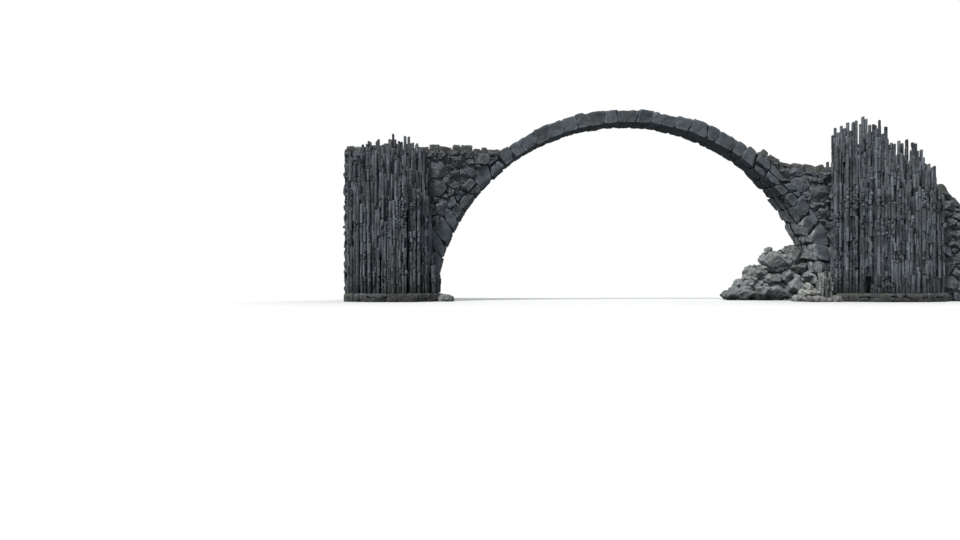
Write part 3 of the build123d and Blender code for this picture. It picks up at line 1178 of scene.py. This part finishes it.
def basalt(name, number):
    """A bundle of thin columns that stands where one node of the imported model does, and as high."""
    face = -1 if "front" in name else 1
    stones = Stones("basalt", number)
    random = stones.random
    sites, bases, tops = column_sites(name, random)
    outlines = cells(sites, np.full(len(sites), column_pitch / 2), column_reach * column_pitch)
    for site, base, top, polygon in zip(sites, bases, tops, outlines):
        gaps = np.linalg.norm(sites - site, axis=1)
        near = (gaps > 0) & (gaps < near_reach * column_pitch)
        in_front = face * (sites[:, 1] - site[1]) > front_reach * column_pitch
        open_in_front = not np.any(near & in_front)
        x = abs(site[0] - arch_x)
        surroundings = slit_surroundings * slit_width if name.startswith("right_front") else 0
        slit = [s for s in slits if abs(x - s[0]) < surroundings]
        start = base
        if near.sum() > least_neighbours and not open_in_front and not slit:
            start = max(base, tops[near].min() - hidden_depth)
        group = int(x / group_width)
        wanders = [shared_first + shared_wander * fixed(group, n, face) for n in range(shared_breaks)]
        shared = [base + drum_length * (n + wander) for n, wander in enumerate(wanders)]
        heights = breaks(random, shared, start, top)
        if open_in_front:
            zones = [
                span for n, span in enumerate(zip(shared, shared[1:]))
                if fixed(group, n, face + zone_seed) < 2 * crushed_share - 1
            ]
            heights = crushed(random, heights, zones)
        holes = [s for s in slit if open_in_front and abs(x - s[0]) < slit_width / 2]
        for _, bottom, lintel in holes:
            below, above = bottom - slit_clearance, lintel + slit_clearance
            heights = [z for z in heights if not below < z < above] + [bottom, lintel]
        column(stones, polygon, sorted(heights), shared, group, face, open_in_front, holes)
    material = stump_material if "stumps" in name else column_material
    stones.build(f"{name}_drums", "basalt", material, name)


# Boulders


def ball(fineness):
    """The directions and the faces of a finely divided ball."""
    mesh = bmesh.new()
    bmesh.ops.create_icosphere(mesh, subdivisions=fineness, radius=1)
    ways = np.array([vertex.co[:] for vertex in mesh.verts])
    faces = [[vertex.index for vertex in face.verts] for face in mesh.faces]
    mesh.free()
    return ways / np.linalg.norm(ways, axis=1)[:, None], faces


balls = [ball(fineness) for fineness in ball_fineness]


def boulder_hull(size, seed):
    """The part's boulder about its middle: its planes, as normals and distances, and its corners."""
    golden_turn = math.pi * (3 - math.sqrt(5))
    spread = [1 + boulder_stretch * fixed(seed, k) for k in (1, 2, 3)]
    hull = bmesh.new()
    for k in range(boulder_points):
        rise = 1 - 2 * (k + 0.5) / boulder_points
        around = math.sqrt(1 - rise**2)
        radius = size * (1 + boulder_lumps * fixed(seed, k, lump_seed))
        turn = golden_turn * k + seed
        x = radius * (spread[0] * around * math.cos(turn))
        y = radius * (spread[1] * around * math.sin(turn))
        hull.verts.new((x, y, radius * spread[2] * boulder_flatness * rise))
    bmesh.ops.convex_hull(hull, input=hull.verts)
    hull.normal_update()
    normals = np.array([face.normal[:] for face in hull.faces])
    distances = np.array([face.normal.dot(face.verts[0].co) for face in hull.faces])
    corners = np.array([vertex.co[:] for vertex in hull.verts])
    hull.free()
    return normals, distances, corners


def boulder(stones, x, y, z, size, seed, plain=False):
    """A broken block with rounded edges around the part's boulder. A plain one gets the coarsest ball."""
    normals, distances, corners = boulder_hull(size, seed)
    chips = stones.random.normal(size=(boulder_chips, 3))
    chips /= np.linalg.norm(chips, axis=1)[:, None]
    cut = (chips @ corners.T).max(1) * stones.random.uniform(*chip_reach, boulder_chips)
    normals, distances = np.vstack([normals, chips]), np.append(distances, cut)
    ways, faces = balls[0 if plain else sum(size > least for least in ball_steps)]
    shares = np.maximum(ways @ normals.T, 0) / distances
    reach = (shares**boulder_sharpness).sum(1) ** (-1 / boulder_sharpness)
    stones.add(np.array([x, y, z]) + boulder_growth * ways * reach[:, None], faces)


def heap(name, y, seed):
    """One line of the pile behind the ring's right foot, with small stones between and on top."""
    stones = Stones("heap", seed)
    centres = []
    for n, (inwards, up, share) in enumerate(heap_boulders):
        size = share * boulder_size
        x = foot_x - inwards * heap_length + heap_wander * size * fixed(n, 1, seed)
        wander = heap_wander * size * fixed(n, 2, seed)
        centres.append((arch_x + x, y + wander, max(bedding * size, up * heap_height)))
        boulder(stones, *centres[-1], size, 1 + n + seed)
    for n, here in enumerate(centres):
        for m, there in enumerate(centres[:n]):
            if math.dist(here, there) < 2 * boulder_size:
                middle = (np.array(here) + there) / 2
                own_seed = filler_seed + filler_seed_step * n + m + seed
                boulder(stones, *middle, filler_share * boulder_size, own_seed, plain=True)
    body = tree([name])
    low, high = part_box(name)
    for n in range(crumb_count):
        spot = stones.random.uniform((low.x, low.y), (high.x, high.y))
        top = body.ray_cast((*spot, high.z + 1), (0, 0, -1))[0]
        if top is not None:
            size = crumb_size * stones.random.uniform(*crumb_spread)
            boulder(stones, *spot, max(top.z, bedding * size), size, crumb_seed + n + seed)
    stones.build(f"{name}_stones", "boulder_stone", heap_material, name)


def toe(name, side, starts, counts, layers):
    """The small stones before one of the ring's feet, in lines and layers."""
    stones = Stones("toe", side)
    for row, (start, count, height) in enumerate(zip(starts, counts, layers)):
        for layer in range(height):
            for n in range(count - layer):
                size = toe_size * (1 + size_spread * fixed(n, row, side + layer))
                place = toe_first_stone + toe_spacing * n + toe_layer_shift * layer
                x = arch_x + side * (start - place * toe_size)
                y = -wall_y - (toe_first_line + toe_line_spacing * row) * toe_size
                z = (bedding + toe_layer_rise * layer) * toe_size
                seed = toe_seed + n + toe_line_seed * row + toe_layer_seed * layer + side
                boulder(stones, x, y, z, size, seed)
    stones.build(f"{name}_rough", "boulder_stone", toe_material, name)


# Camera, lights and floor


def camera():
    """The photograph's view: level, with its horizon a little below the middle of the frame."""
    data = bpy.data.cameras.new("camera")
    data.sensor_width = sensor_width
    data.lens = sensor_width * focal_pixels / photo_width
    data.shift_y = horizon_below_centre / photo_width
    data.clip_end = camera_reach
    made = placed("camera", data)
    made.location = (arch_x - camera_left_of_arch, -camera_distance, camera_height)
    made.rotation_euler = (math.radians(90), 0, 0)
    bpy.context.scene.camera = made


def sun(name, towards, strength, softness):
    """A soft light that falls along one direction everywhere."""
    data = bpy.data.lights.new(name, "SUN")
    data.energy = strength
    data.angle = math.radians(softness)
    placed(name, data).rotation_euler = Vector(towards).to_track_quat("-Z", "Y").to_euler()


def studio():
    """A pale floor and a white background, with soft light from above."""
    mesh = bpy.data.meshes.new("floor")
    corners = [(x * floor_reach, y * floor_reach, 0) for x, y in ((-1, -1), (1, -1), (1, 1), (-1, 1))]
    mesh.from_pydata(corners, [], [(0, 1, 2, 3)])
    mesh.materials.append(floor_material())
    floor = placed("floor", mesh)
    world = bpy.data.worlds.new("studio")
    bpy.context.scene.world = world
    s = Shading(world)
    sky = s.tree.nodes["Background"]
    s.fill(sky, {"Color": (0.93, 0.96, 1), "Strength": sky_strength})
    seen = s.node("Background", {"Color": (1, 1, 1)})["Background"]
    camera_ray = s.node("LightPath", {})["Is Camera Ray"]
    chosen = s.node("MixShader", {0: camera_ray, 1: sky.outputs["Background"], 2: seen})["Shader"]
    s.fill(s.tree.nodes["World Output"], {"Surface": chosen})
    sun("key", (0.5, 0.42, -0.95), key_strength, softness=12)
    sun("rim", (-0.5, -0.45, -0.9), rim_strength, softness=45)


def dress():
    """Every piece of stonework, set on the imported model."""
    names = sorted(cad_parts)
    bundles = [name for name in names if "columns" in name or "stumps" in name]
    # The imported model shows in the joints, in the nearly black colour that paints the shade in the gaps
    for name in names:
        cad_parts[name].data.materials.clear()
        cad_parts[name].data.materials.append(painted_shade_joint_material)
    ring_stones()
    screens = tree(bundles)
    for side in side_words:
        end_rubble(side)
        flagstones(side)
        for face in face_words:
            wall_rubble(side, face, screens)
            edging(side, face)
            footing(side, face)
    for number, name in enumerate(bundles):
        basalt(name, number)
    heap("boulder_heap_inner", wall_y + heap_inner_line, 0)
    heap("boulder_heap_outer", wall_y + heap_outer_line, outer_heap_seed)
    right_starts = [stump_end, stump_end, right_screen[0]]
    toe("right_toe_stones", 1, right_starts, right_toe_counts, right_toe_layers)
    toe("left_toe_stones", -1, [left_screen[0]], left_toe_counts, left_toe_layers)


camera()
studio()
dress()
bpy.context.scene.view_settings.view_transform = "Standard"
